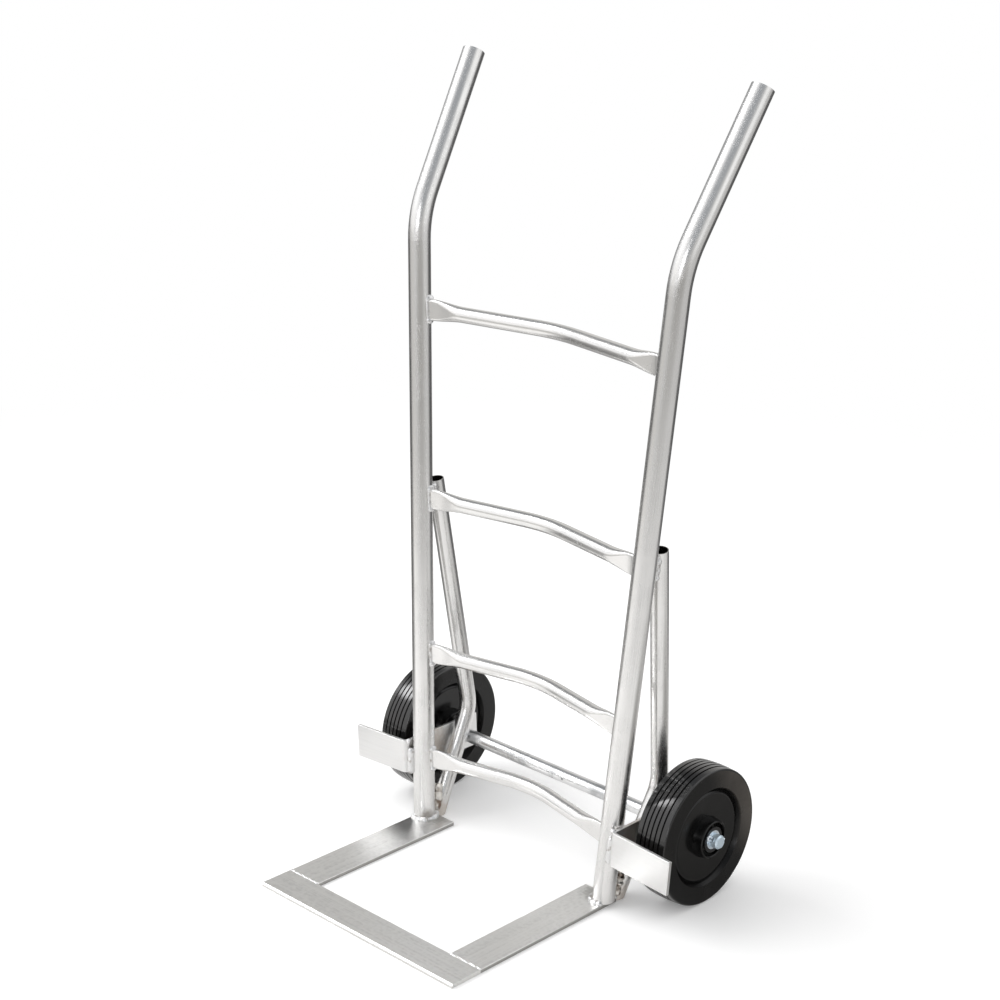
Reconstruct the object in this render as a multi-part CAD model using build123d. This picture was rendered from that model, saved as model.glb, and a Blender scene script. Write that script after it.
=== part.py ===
from build123d import *
import os
from math import cos, pi, radians, sqrt, tan

# Tubular sack truck: two flared stiles on an open toe frame, set-back rungs, rear braces and two wheels.
# Millimetres and degrees. +X is to the right seen from the front, +Y is towards the back, +Z is up and the
# floor is z = 0. Everything is laid out from the right stile's foot (y = 0) and moved at the end, so that
# the origin is the middle of the truck's box on the floor. The left side is the right one's mirror image.

# Stiles: one bent tube a side, straight from the toe to the bend, then back into an open handle
STILE_OD = 32.0
STILE_WALL = 2.0
FOOT_SPACING = 355.0
STILE_FLARE = 3.7
STILE_LEAN = 2.5
STILE_BEND_HEIGHT = 900.0
STILE_BEND_RADIUS = 150.0
HANDLE_RISE = 213.0
HANDLE_ANGLE = 30.0
HANDLE_SPLAY = 2.0

# Rungs: tubes set back at the middle and pressed flat where they meet the stiles
RUNG_OD = 22.0
RUNG_WALL = 1.5
RUNG_HEIGHTS = {"top_rung": 768.0, "upper_rung": 495.0, "lower_rung": 263.0, "bottom_rung": 100.0}
RUNG_SET_BACK = 42.0
RUNG_BEND_RADIUS = 200.0
PRESSED_THICKNESS = 7.0
PRESSED_FLAT = 8.0
PRESS_RUN_OUT = 50.0
PRESS_STEPS = 3
PRESS_START_WIDTH = 1.0

# Rear braces: tube from behind the upper rung to a bend over the axle, then forward and down behind the toe
BRACE_OD = 25.0
BRACE_WALL = 1.5
BRACE_TOP = 516.0
BRACE_BEND_AHEAD = 2.0
BRACE_BEND_RISE = 52.0
BRACE_BEND_RADIUS = 60.0
BRACE_FOOT_BACK = 28.0
BRACE_FOOT_LIFT = 1.0
BRACE_SEAT = 0.8

# Flat bar of the toe and the brackets has slightly rounded edges
BAR_EDGE_RADIUS = 0.8

# Toe frame: three flat bars, the side bars butted against the back of the front one
TOE_EDGE = 10.5
TOE_REACH = 306.0
TOE_TAIL_GAP = 0.5
TOE_FRONT_DEPTH = 53.0
TOE_SIDE_WIDTH = 57.0
TOE_THICKNESS = 6.0
TOE_NOSE_BEVEL = 2.0
TOE_WELD_BEVEL = 2.0

# Axle brackets: flat bar bent square, one leg along the stile, the other a guard in front of the wheel
BRACKET_HEIGHT = 51.0
BRACKET_THICKNESS = 5.0
BRACKET_BEND_RADIUS = 2.5
BRACKET_FRONT = 18.0
BRACKET_TAIL = 29.0
GUARD_REACH = 120.0
GUARD_GAP = 16.0

# Axle: one round bar through both brackets, drilled for a split pin at each end
AXLE_D = 20.0
AXLE_END = 9.5
AXLE_CHAMFER = 2.0
AXLE_VENT_D = 3.5
AXLE_VENT_ASIDE = 12.5
AXLE_SEAT_CLEARANCE = 0.05

# Wheels: rubber tyre on a moulded centre that turns on a plain bush
WHEEL_D = 200.0
TYRE_WIDTH = 50.0
TYRE_SHOULDER_RADIUS = 2.0
TYRE_CROWN = 1.5
TREAD_GROOVES = 5
TREAD_PITCH = 7.6
TREAD_GROOVE_WIDTH = 2.4
TREAD_GROOVE_DEPTH = 3.0
TYRE_LIP_RADIUS = 72.0
TYRE_SEAT_RADIUS = 68.0
TYRE_SEAT_WIDTH = 34.0
DISC_EDGE_RADIUS = 64.0
DISC_EDGE_HALF_WIDTH = 21.0
DISC_EDGE_ROUND = 6.0
DISC_ROOT_HALF_WIDTH = 20.0
HUB_ROOT_RADIUS = 30.0
HUB_RIM_RADIUS = 27.0
HUB_MOUTH_RADIUS = 24.0
HUB_HALF_WIDTH = 34.0
HUB_MOUTH_DEPTH = 10.0
HUB_RIM_BEVEL = 1.0
BUSH_WALL = 4.0
BUSH_LENGTH = 60.0
BUSH_CLEARANCE = 0.08

# Pieces on the axle that hold each wheel in its place
SPACER_WALL = 5.0
SPACER_LENGTH = 16.0
WASHER_RIM = 8.5
WASHER_THICKNESS = 2.5
WASHER_CLEARANCE = 0.05
END_PLAY = 0.4
PIN_WIRE_D = 3.2
PIN_GAP = 0.3
PIN_CLEARANCE = 0.05
PIN_STANDOFF = 1.5
PIN_EYE_RADIUS = 3.8
PIN_EYE_LENGTH = 7.0
PIN_BEND = 2.6
PIN_LEG_REACH = 8.0
PIN_LEG_SPREAD = 6.0
PIN_TILT = 30.0

SPARE = 400.0  # length of cutting blocks, more than any piece they cut

FLARE_SLOPE = tan(radians(STILE_FLARE))
LEAN_SLOPE = tan(radians(STILE_LEAN))


def stile_x(z):
    """Distance of the right stile's axis from the middle of the truck at a height."""
    return FOOT_SPACING / 2 + (z - TOE_THICKNESS) * FLARE_SLOPE


def stile_y(z):
    """Distance of the stile's axis behind its foot at a height below the bend."""
    return (z - TOE_THICKNESS) * LEAN_SLOPE


# Sizes and places that follow from the ones above
HANDLE_HEIGHT = STILE_BEND_HEIGHT + HANDLE_RISE
TOE_WIDTH = FOOT_SPACING + 2 * TOE_EDGE
TOE_TAIL = STILE_OD / 2 - TOE_TAIL_GAP
AXLE_HEIGHT = WHEEL_D / 2
AXLE_BACK = WHEEL_D / 2 + GUARD_GAP + BRACKET_THICKNESS - BRACKET_FRONT
BRACKET_BACK = AXLE_BACK + BRACKET_TAIL
BRACE_BEND_BACK = AXLE_BACK - BRACE_BEND_AHEAD
BRACE_BEND_HEIGHT = AXLE_HEIGHT + BRACE_BEND_RISE
BUSH_OD = AXLE_D + 2 * BUSH_WALL
SPACER_OD = AXLE_D + 2 * SPACER_WALL
WASHER_OD = AXLE_D + 2 * WASHER_RIM
LEG_FACE_X = stile_x(AXLE_HEIGHT) + (STILE_OD / 2 + BRACKET_THICKNESS) / cos(radians(STILE_FLARE))
WHEEL_X = LEG_FACE_X + SPACER_LENGTH + END_PLAY + BUSH_LENGTH / 2
WASHER_X = WHEEL_X + BUSH_LENGTH / 2 + END_PLAY
PIN_HOLE_D = 2 * (PIN_WIRE_D + PIN_CLEARANCE) + PIN_GAP
PIN_X = WASHER_X + WASHER_THICKNESS + PIN_HOLE_D / 2
AXLE_LENGTH = 2 * (PIN_X + AXLE_END)
SHIFT_BACK = (TOE_REACH - AXLE_BACK - WHEEL_D / 2) / 2

# Plane of the right stile's straight run and of the brace: x runs back, y up along the flare, z outwards
SIDE_PLANE = Plane(
    origin=(stile_x(0), 0, 0),
    x_dir=(0, 1, 0),
    z_dir=(cos(radians(STILE_FLARE)), 0, -FLARE_SLOPE * cos(radians(STILE_FLARE))),
)


def in_side_plane(y, z):
    """Side-plane coordinates of the point at a distance behind the foot and a height."""
    return (y, z / cos(radians(STILE_FLARE)))


def tube_forms(path, od, wall):
    """Outer form and bore of a round tube along a path."""
    start = Plane(origin=path @ 0, z_dir=path % 0)
    outer = sweep(start * Circle(od / 2), path=path)
    bore = sweep(start * Circle(od / 2 - wall), path=path)
    return outer, bore


def below(z):
    """Block that holds everything under a height."""
    return Pos(0, 0, z) * Box(4 * SPARE, 4 * SPARE, SPARE, align=(Align.CENTER, Align.CENTER, Align.MAX))


def stile_forms():
    """Outer form and bore of the right stile, trimmed level at the toe."""
    foot = -STILE_OD
    bend_y = stile_y(STILE_BEND_HEIGHT)
    handle_run = (HANDLE_HEIGHT - STILE_BEND_HEIGHT) * tan(radians(HANDLE_ANGLE))
    handle_x = stile_x(HANDLE_HEIGHT) + handle_run * tan(radians(HANDLE_SPLAY))
    path = FilletPolyline(
        (stile_x(foot), stile_y(foot), foot),
        (stile_x(STILE_BEND_HEIGHT), bend_y, STILE_BEND_HEIGHT),
        (handle_x, bend_y + handle_run, HANDLE_HEIGHT),
        radius=STILE_BEND_RADIUS,
    )
    outer, bore = tube_forms(path, STILE_OD, STILE_WALL)
    return outer - below(TOE_THICKNESS), bore - below(TOE_THICKNESS)


def pressed_section(plane, thickness, wall):
    """Section of a pressed tube, or of its bore: two flats and two half rounds of the same girth."""
    radius = thickness / 2 - wall
    centre = pi / 4 * (RUNG_OD - thickness)
    half_flat = centre or PRESS_START_WIDTH / 2
    side = sqrt(radius**2 - (half_flat - centre) ** 2)
    if centre:
        flat = Line((-half_flat, side), (half_flat, side))
    else:
        flat = ThreePointArc((-half_flat, side), (0, radius), (half_flat, side))
    round_edge = ThreePointArc((half_flat, side), (centre + radius, 0), (half_flat, -side))
    half_turn = Rot(0, 0, 180)
    return plane * Face(Wire([flat, round_edge, half_turn * flat, half_turn * round_edge]))


def pressed_end(end, direction, wall):
    """One end of a rung, or of its bore: pressed over the run-out, then flat up to the stile's axis."""
    flat_length = STILE_OD / 2 + PRESSED_FLAT
    start = Plane(origin=end - direction * (flat_length + PRESS_RUN_OUT), x_dir=(0, 0, 1), z_dir=direction)
    sections = []
    for step in range(PRESS_STEPS + 1):
        share = step / PRESS_STEPS
        pressed = share * share * (3 - 2 * share)
        thickness = RUNG_OD - pressed * (RUNG_OD - PRESSED_THICKNESS)
        sections.append(pressed_section(start.offset(share * PRESS_RUN_OUT), thickness, wall))
    return loft(sections) + extrude(sections[-1], flat_length, dir=direction)


def rung(height, stile_outer):
    """Rung at a height: set back at the middle, pressed flat at both ends and coped to the stiles."""
    end = Vector(stile_x(height), stile_y(height), height)
    middle = Vector(0, stile_y(height) + RUNG_SET_BACK, height)
    direction = (end - middle).normalized()
    round_end = end - direction * (STILE_OD / 2 + PRESSED_FLAT + PRESS_RUN_OUT)
    path = FilletPolyline((-round_end.X, round_end.Y, height), middle, round_end, radius=RUNG_BEND_RADIUS)
    outer, bore = tube_forms(path, RUNG_OD, RUNG_WALL)
    end_outer = pressed_end(end, direction, 0)
    end_bore = pressed_end(end, direction, RUNG_WALL)
    outer = outer + end_outer + mirror(end_outer, about=Plane.YZ)
    bore = bore + end_bore + mirror(end_bore, about=Plane.YZ)
    return outer - bore - stile_outer - mirror(stile_outer, about=Plane.YZ)


def brace(stile_outer):
    """Right brace: open square end at the top, bend over the axle, foot cut off along the stile's back."""
    top_y = stile_y(BRACE_TOP) + (STILE_OD + BRACE_OD) / 2 - BRACE_SEAT
    run_slope = (BRACE_BEND_BACK - BRACE_FOOT_BACK) / (BRACE_BEND_HEIGHT - TOE_THICKNESS)
    foot = -BRACE_OD
    path = SIDE_PLANE * FilletPolyline(
        in_side_plane(top_y, BRACE_TOP),
        in_side_plane(BRACE_BEND_BACK, BRACE_BEND_HEIGHT),
        in_side_plane(BRACE_FOOT_BACK + (foot - TOE_THICKNESS) * run_slope, foot),
        radius=BRACE_BEND_RADIUS,
    )
    outer, bore = tube_forms(path, BRACE_OD, BRACE_WALL)
    foot_plane = SIDE_PLANE * Pos(*in_side_plane(0, TOE_THICKNESS), 0) * Rot(0, 0, -STILE_LEAN)
    front_of_foot = foot_plane * Pos(STILE_OD / 2, 0, 0) * Box(
        SPARE, STILE_OD + BRACE_BEND_HEIGHT, 2 * STILE_OD, align=(Align.MAX, Align.CENTER, Align.CENTER)
    )
    return outer - bore - below(BRACE_FOOT_LIFT) - front_of_foot - stile_outer


def bracket_plane():
    """Plane square to the right stile at axle height: x points outwards and y runs back."""
    return Plane(
        origin=(stile_x(AXLE_HEIGHT), 0, AXLE_HEIGHT),
        x_dir=SIDE_PLANE.z_dir,
        z_dir=SIDE_PLANE.y_dir,
    )


def along_axle(radius, start, length):
    """Cylinder about the axle's line, from a distance to the right of the middle."""
    return Pos(start, AXLE_BACK, AXLE_HEIGHT) * Rot(0, 90, 0) * Cylinder(
        radius, length, align=(Align.CENTER, Align.CENTER, Align.MIN)
    )


def axle_bracket():
    """Right axle bracket, with the hole that seats the axle."""
    plane = bracket_plane()
    leg_x = (STILE_OD + BRACKET_THICKNESS) / 2
    guard_y = -BRACKET_FRONT + BRACKET_THICKNESS / 2
    path = plane * FilletPolyline(
        (leg_x, BRACKET_BACK),
        (leg_x, guard_y),
        (GUARD_REACH, guard_y),
        radius=BRACKET_BEND_RADIUS + BRACKET_THICKNESS / 2,
    )
    start = Plane(origin=path @ 0, x_dir=plane.z_dir, z_dir=path % 0)
    bar = sweep(start * RectangleRounded(BRACKET_HEIGHT, BRACKET_THICKNESS, BAR_EDGE_RADIUS), path=path)
    return bar - along_axle(AXLE_D / 2 + AXLE_SEAT_CLEARANCE, 0, SPARE)


def toe_front_bar():
    """Front bar of the toe, with a bevelled nose."""
    bar = Pos(0, -TOE_REACH, 0) * Box(
        TOE_WIDTH, TOE_FRONT_DEPTH, TOE_THICKNESS, align=(Align.CENTER, Align.MIN, Align.MIN)
    )
    bar = fillet(bar.edges().filter_by(Axis.X).group_by(Axis.Y)[-1], BAR_EDGE_RADIUS)
    nose = bar.edges().filter_by(Axis.X).group_by(Axis.Y)[0].sort_by(Axis.Z)[-1]
    return chamfer(nose, TOE_NOSE_BEVEL)


def toe_side_bar():
    """Right bar of the toe, bevelled at the front for its weld."""
    front = -TOE_REACH + TOE_FRONT_DEPTH
    bar = Pos(TOE_WIDTH / 2, front, 0) * Box(
        TOE_SIDE_WIDTH, TOE_TAIL - front, TOE_THICKNESS, align=(Align.MAX, Align.MIN, Align.MIN)
    )
    butt = bar.edges().filter_by(Axis.X).group_by(Axis.Y)[0].sort_by(Axis.Z)[-1]
    bar = chamfer(butt, TOE_WELD_BEVEL)
    return fillet(bar.edges().filter_by(Axis.Y), BAR_EDGE_RADIUS)


def axle():
    """Axle bar with chamfered ends, a vent hole near the middle and a split-pin hole at each end."""
    bar = chamfer(along_axle(AXLE_D / 2, -AXLE_LENGTH / 2, AXLE_LENGTH).edges(), AXLE_CHAMFER)
    vent = Pos(AXLE_VENT_ASIDE, AXLE_BACK, AXLE_HEIGHT) * Rot(90, 0, 0) * Cylinder(
        AXLE_VENT_D / 2, AXLE_D, align=(Align.CENTER, Align.CENTER, Align.MIN)
    )
    pin_place = Pos(PIN_X, AXLE_BACK, AXLE_HEIGHT) * Rot(90 - PIN_TILT, 0, 0)
    pin_hole = pin_place * Cylinder(PIN_HOLE_D / 2, 2 * AXLE_D)
    return bar - vent - pin_hole - mirror(pin_hole, about=Plane.YZ)


def wheel_plane():
    """Plane of the right wheel's section: x runs outwards along the axle and y runs out from it."""
    return Plane(origin=(WHEEL_X, AXLE_BACK, AXLE_HEIGHT), x_dir=(1, 0, 0), z_dir=(0, -1, 0))


def turned(section):
    """Solid turned about the axle's line from a section in the wheel's plane."""
    return revolve(wheel_plane() * section, axis=Axis((0, AXLE_BACK, AXLE_HEIGHT), (1, 0, 0)))


def tyre():
    """Tyre: crowned tread with grooves round it, flat sidewalls and a lip that falls to the seat."""
    half = TYRE_WIDTH / 2
    edge = WHEEL_D / 2 - TYRE_CROWN
    seat = TYRE_SEAT_WIDTH / 2
    outline = Polyline(
        (-half, edge), (-half, TYRE_LIP_RADIUS), (-seat, TYRE_SEAT_RADIUS),
        (seat, TYRE_SEAT_RADIUS), (half, TYRE_LIP_RADIUS), (half, edge),
    ) + ThreePointArc((half, edge), (0, WHEEL_D / 2), (-half, edge))
    section = make_face(outline)
    shoulders = section.vertices().sort_by(Axis.Y)[-2:]
    section = fillet(shoulders, TYRE_SHOULDER_RADIUS)
    for index in range(TREAD_GROOVES):
        groove_x = (index - (TREAD_GROOVES - 1) / 2) * TREAD_PITCH
        section -= Pos(groove_x, WHEEL_D / 2) * Rectangle(TREAD_GROOVE_WIDTH, 2 * TREAD_GROOVE_DEPTH)
    return turned(section)


def wheel_centre():
    """Moulded centre: rim under the tyre, dished disc with a rounded edge, and a hub with a deep mouth."""
    seat = TYRE_SEAT_WIDTH / 2
    mouth_floor = HUB_HALF_WIDTH - HUB_MOUTH_DEPTH
    disc_edge = Vector(DISC_EDGE_HALF_WIDTH, DISC_EDGE_RADIUS)
    half = make_face(Polyline(
        (0, TYRE_SEAT_RADIUS), (seat, TYRE_SEAT_RADIUS), disc_edge,
        (DISC_ROOT_HALF_WIDTH, HUB_ROOT_RADIUS), (HUB_HALF_WIDTH, HUB_RIM_RADIUS),
        (HUB_HALF_WIDTH, HUB_MOUTH_RADIUS), (mouth_floor, HUB_MOUTH_RADIUS),
        (mouth_floor, BUSH_OD / 2), (0, BUSH_OD / 2), (0, TYRE_SEAT_RADIUS),
    ))
    half = fillet(half.vertices().sort_by_distance(disc_edge)[0], DISC_EDGE_ROUND)
    half = chamfer(half.vertices().group_by(Axis.X)[-1], HUB_RIM_BEVEL)
    right_half = turned(half)
    return right_half + mirror(right_half, about=Plane.YZ.offset(WHEEL_X))


def hub_bush():
    """Plain bush that is pressed into the hub and turns on the axle."""
    start = WHEEL_X - BUSH_LENGTH / 2
    bore = along_axle(AXLE_D / 2 + BUSH_CLEARANCE, start, BUSH_LENGTH)
    return along_axle(BUSH_OD / 2, start, BUSH_LENGTH) - bore


def spacer():
    """Sleeve between the bracket and the bush, cut to lie on the bracket's leg."""
    end = WHEEL_X - BUSH_LENGTH / 2 - END_PLAY
    start = stile_x(AXLE_HEIGHT)
    sleeve = along_axle(SPACER_OD / 2, start, end - start)
    bore = along_axle(AXLE_D / 2 + AXLE_SEAT_CLEARANCE, start, end - start)
    leg_face = STILE_OD / 2 + BRACKET_THICKNESS
    inside_leg = bracket_plane() * Pos(leg_face, 0, 0) * Box(
        SPARE, 2 * SPARE, SPARE, align=(Align.MAX, Align.CENTER, Align.CENTER)
    )
    return sleeve - bore - inside_leg


def washer():
    """Plain washer between the bush and the split pin."""
    bore = along_axle(AXLE_D / 2 + WASHER_CLEARANCE, WASHER_X, WASHER_THICKNESS)
    return along_axle(WASHER_OD / 2, WASHER_X, WASHER_THICKNESS) - bore


def split_pin():
    """Split pin: one wire doubled back, with an eye at the front and two spread legs at the back."""
    apart = (PIN_WIRE_D + PIN_GAP) / 2
    head = -AXLE_D / 2 - PIN_STANDOFF
    tail = AXLE_D / 2 + PIN_STANDOFF
    upper = [
        (tail + PIN_LEG_REACH, PIN_LEG_SPREAD),
        (tail, apart),
        (head, apart),
        (head - PIN_EYE_LENGTH, PIN_EYE_RADIUS),
    ]
    lower = [(x, -y) for x, y in reversed(upper)]
    back = Vector(0, 1, 0).rotate(Axis.X, -PIN_TILT)
    plane = Plane(origin=(PIN_X, AXLE_BACK, AXLE_HEIGHT), x_dir=back, z_dir=(1, 0, 0))
    path = plane * FilletPolyline(*upper, *lower, radius=PIN_BEND)
    start = Plane(origin=path @ 0, z_dir=path % 0)
    return sweep(start * Circle(PIN_WIRE_D / 2), path=path)


def save(node, shape):
    """Writes one node, moved from the stile's foot to the middle of the truck's box."""
    moved = Pos(0, SHIFT_BACK, 0) * shape
    export_step(moved, f"parts/{node}.step")


def save_pair(name, right_shape):
    """Writes a right-hand piece and its mirror image on the left."""
    save(f"right_{name}", right_shape)
    save(f"left_{name}", mirror(right_shape, about=Plane.YZ))


def main():
    """Builds every piece and writes one file for each."""
    os.makedirs("parts", exist_ok=True)
    stile_outer, stile_bore = stile_forms()
    save_pair("stile", stile_outer - stile_bore)
    for name, height in RUNG_HEIGHTS.items():
        save(name, rung(height, stile_outer))
    save_pair("brace", brace(stile_outer))
    save_pair("axle_bracket", axle_bracket())
    save("toe_front_bar", toe_front_bar())
    save_pair("toe_bar", toe_side_bar())
    save("axle", axle())
    save_pair("tyre", tyre())
    save_pair("wheel_centre", wheel_centre())
    save_pair("hub_bush", hub_bush())
    save_pair("spacer", spacer())
    save_pair("washer", washer())
    save_pair("split_pin", split_pin())


main()
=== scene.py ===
"""Looks of a welded aluminium sack truck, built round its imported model.

Metres and degrees. +X is to the right seen from the front, +Y is towards the back and +Z is up.
The floor is z = 0.
"""

import logging
import math
from collections.abc import Iterable
from dataclasses import dataclass, replace
from enum import Enum
from functools import cached_property, reduce

import bpy
from mathutils import Matrix, Quaternion, Vector, noise


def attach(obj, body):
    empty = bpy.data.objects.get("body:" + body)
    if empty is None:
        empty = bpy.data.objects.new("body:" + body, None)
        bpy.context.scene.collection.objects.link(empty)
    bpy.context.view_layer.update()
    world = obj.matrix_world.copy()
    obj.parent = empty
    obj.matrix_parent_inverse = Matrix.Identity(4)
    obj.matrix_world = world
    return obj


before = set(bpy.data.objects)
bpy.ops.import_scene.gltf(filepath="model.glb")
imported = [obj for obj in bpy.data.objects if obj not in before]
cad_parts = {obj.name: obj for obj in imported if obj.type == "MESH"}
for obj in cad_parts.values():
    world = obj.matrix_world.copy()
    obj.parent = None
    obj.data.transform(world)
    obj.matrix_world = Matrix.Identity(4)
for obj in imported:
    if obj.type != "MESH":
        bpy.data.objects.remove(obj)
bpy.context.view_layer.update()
log = logging.getLogger("sack_truck")

Span = tuple[float, float]
Triple = tuple[float, float, float]
Colour = Triple
Place = Vector | Triple
Material = bpy.types.Material
NodeTree = bpy.types.NodeTree
Outputs = bpy.types.NodeOutputs
Socket = bpy.types.NodeSocket

SIDEWAYS = Vector((1.0, 0.0, 0.0))
BACKWARDS = Vector((0.0, 1.0, 0.0))
UPWARDS = Vector((0.0, 0.0, 1.0))
WHITE: Colour = (1.0, 1.0, 1.0)
EDGES = (("outer", 1.0), ("inner", -1.0))


def slope(degrees: float) -> float:
    """Tangent of an angle."""
    return math.tan(math.radians(degrees))


def arc(middle: Vector, first: Vector, second: Vector, angles: Iterable[float]) -> list[Vector]:
    """Points of an ellipse with two half axes, at angles in degrees from the first towards the second."""
    return [middle + first * math.cos(turn) + second * math.sin(turn) for turn in map(math.radians, angles)]


def label(key: str) -> str:
    """Name of a socket that a keyword stands for."""
    return key.replace("_", " ").title().replace("Ior", "IOR")


class Side(Enum):
    """The two sides of the truck, with the sign of x there."""

    LEFT = -1
    RIGHT = 1

    def __str__(self) -> str:
        """First word of the names of the pieces on this side."""
        return self.name.lower()

    def line(self, points: list[Vector]) -> list[Vector]:
        """Points of this side for points of the right side."""
        return [Vector((self.value * point.x, point.y, point.z)) for point in points]


@dataclass(frozen=True)
class Layout:
    """Sizes that several sub-assemblies share."""

    foot_x: float = 0.1775
    foot_y: float = 0.0515
    toe_top: float = 0.006
    stile_radius: float = 0.016
    flare: float = 3.7
    lean: float = 2.5
    axle_y: float = 0.1545
    axle_z: float = 0.100

    def stile_axis(self, z: float) -> Vector:
        """Point of the right stile's straight axis at a height."""
        rise = z - self.toe_top
        return Vector((self.foot_x + rise * slope(self.flare), self.foot_y + rise * slope(self.lean), z))

    def beside_stile(self, z: float, back: float, out: float = 0.0) -> Vector:
        """Point at a height that lies so far behind and outside the right stile's axis."""
        return self.stile_axis(z) + BACKWARDS * back + self.outwards * out

    @property
    def stile_run(self) -> Vector:
        """Direction up the right stile's straight run."""
        return (self.stile_axis(1.0) - self.stile_axis(0.0)).normalized()

    @property
    def outwards(self) -> Vector:
        """Direction square to the right stile, level with the ground seen from the side."""
        flare = math.radians(self.flare)
        return Vector((math.cos(flare), 0.0, -math.sin(flare)))


LAYOUT = Layout()


@dataclass(frozen=True)
class Tree:
    """Adds shader nodes to a node tree and wires them."""

    number_results = ("DOT_PRODUCT", "LENGTH", "DISTANCE")
    ramp_inputs = ("Value", "From Min", "From Max", "To Min", "To Max")
    tree: NodeTree

    def add(self, kind: str, inputs: dict | None = None, **settings: object) -> Outputs:
        """Adds a node.

        Args:
            kind: Blender's name of the node type.
            inputs: What its inputs get, by their names or numbers.
            settings: Properties of the node.

        Returns:
            The outputs of the new node.
        """
        node = self.tree.nodes.new(kind)
        for key, setting in settings.items():
            setattr(node, key, setting)
        for key, source in (inputs or {}).items():
            self.feed(node.inputs[key], source)
        return node.outputs

    def feed(self, target: Socket, source: object) -> None:
        """Links a socket to an input, or sets the input to a constant.

        Args:
            target: The input.
            source: The socket or the constant.
        """
        if isinstance(source, Socket):
            self.tree.links.new(source, target)
        else:
            target.default_value = (*source, 1.0) if target.type == "RGBA" else source

    def finish(self, **inputs: object) -> None:
        """Feeds inputs of a material's Principled node by keyword."""
        for key, source in inputs.items():
            self.feed(self.tree.nodes["Principled BSDF"].inputs[label(key)], source)

    def group(self, group: NodeTree, **inputs: object) -> Outputs:
        """Outputs of a node group that gets inputs by keyword."""
        named = {label(key): source for key, source in inputs.items()}
        return self.add("ShaderNodeGroup", named, node_tree=group)

    def math(self, operation: str, *inputs: object) -> Socket:
        """Result of a Math node."""
        return self.add("ShaderNodeMath", dict(enumerate(inputs)), operation=operation)[0]

    def vector(self, operation: str, *inputs: object) -> Socket:
        """Result of a Vector Math node: its vector, or its number where the operation gives one."""
        outputs = self.add("ShaderNodeVectorMath", dict(enumerate(inputs)), operation=operation)
        return outputs["Value" if operation in self.number_results else "Vector"]

    def scaled(self, vector: object, factor: object) -> Socket:
        """Vector times a number."""
        inputs = {"Vector": vector, "Scale": factor}
        return self.add("ShaderNodeVectorMath", inputs, operation="SCALE")["Vector"]

    def chain(self, operation: str, *values: object) -> Socket:
        """Result of an operation on several numbers in turn."""
        return reduce(lambda first, second: self.math(operation, first, second), values)

    def noise(self, place: object, scale: object, detail: float = 2.0) -> Socket:
        """Value from 0 to 1 of a noise at a place."""
        return self.add("ShaderNodeTexNoise", {"Vector": place, "Scale": scale, "Detail": detail})["Fac"]

    def ramp(self, value: object, span: Span, result: Span = (0.0, 1.0)) -> Socket:
        """Value carried smoothly from one range to another and held at its ends."""
        inputs = dict(zip(self.ramp_inputs, (value, *span, *result)))
        return self.add("ShaderNodeMapRange", inputs, interpolation_type="SMOOTHSTEP")["Result"]

    def blend(self, factor: object, first: object, second: object) -> Socket:
        """Number between two numbers."""
        return self.add("ShaderNodeMix", {0: factor, 2: first, 3: second}, data_type="FLOAT")[0]

    def tint(self, factor: object, first: object, second: object) -> Socket:
        """Colour between two colours."""
        return self.add("ShaderNodeMix", {0: factor, 6: first, 7: second}, data_type="RGBA")[2]

    def bump(self, height: object, distance: float, strength: float = 1.0) -> Socket:
        """Normal of a surface with a height."""
        inputs = {"Height": height, "Strength": strength, "Distance": distance}
        return self.add("ShaderNodeBump", inputs)["Normal"]

    def mirrored_place(self) -> tuple[Socket, Socket]:
        """Place on the truck, with the left side laid on the right one.

        Returns:
            The place as a vector, and a number that is 1 on the left side and 0 on the right.
        """
        x, y, z = self.add("ShaderNodeSeparateXYZ", {0: self.add("ShaderNodeTexCoord")["Object"]})
        place = self.add("ShaderNodeCombineXYZ", {"X": self.math("ABSOLUTE", x), "Y": y, "Z": z})[0]
        return place, self.math("LESS_THAN", x, 0.0)


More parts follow.
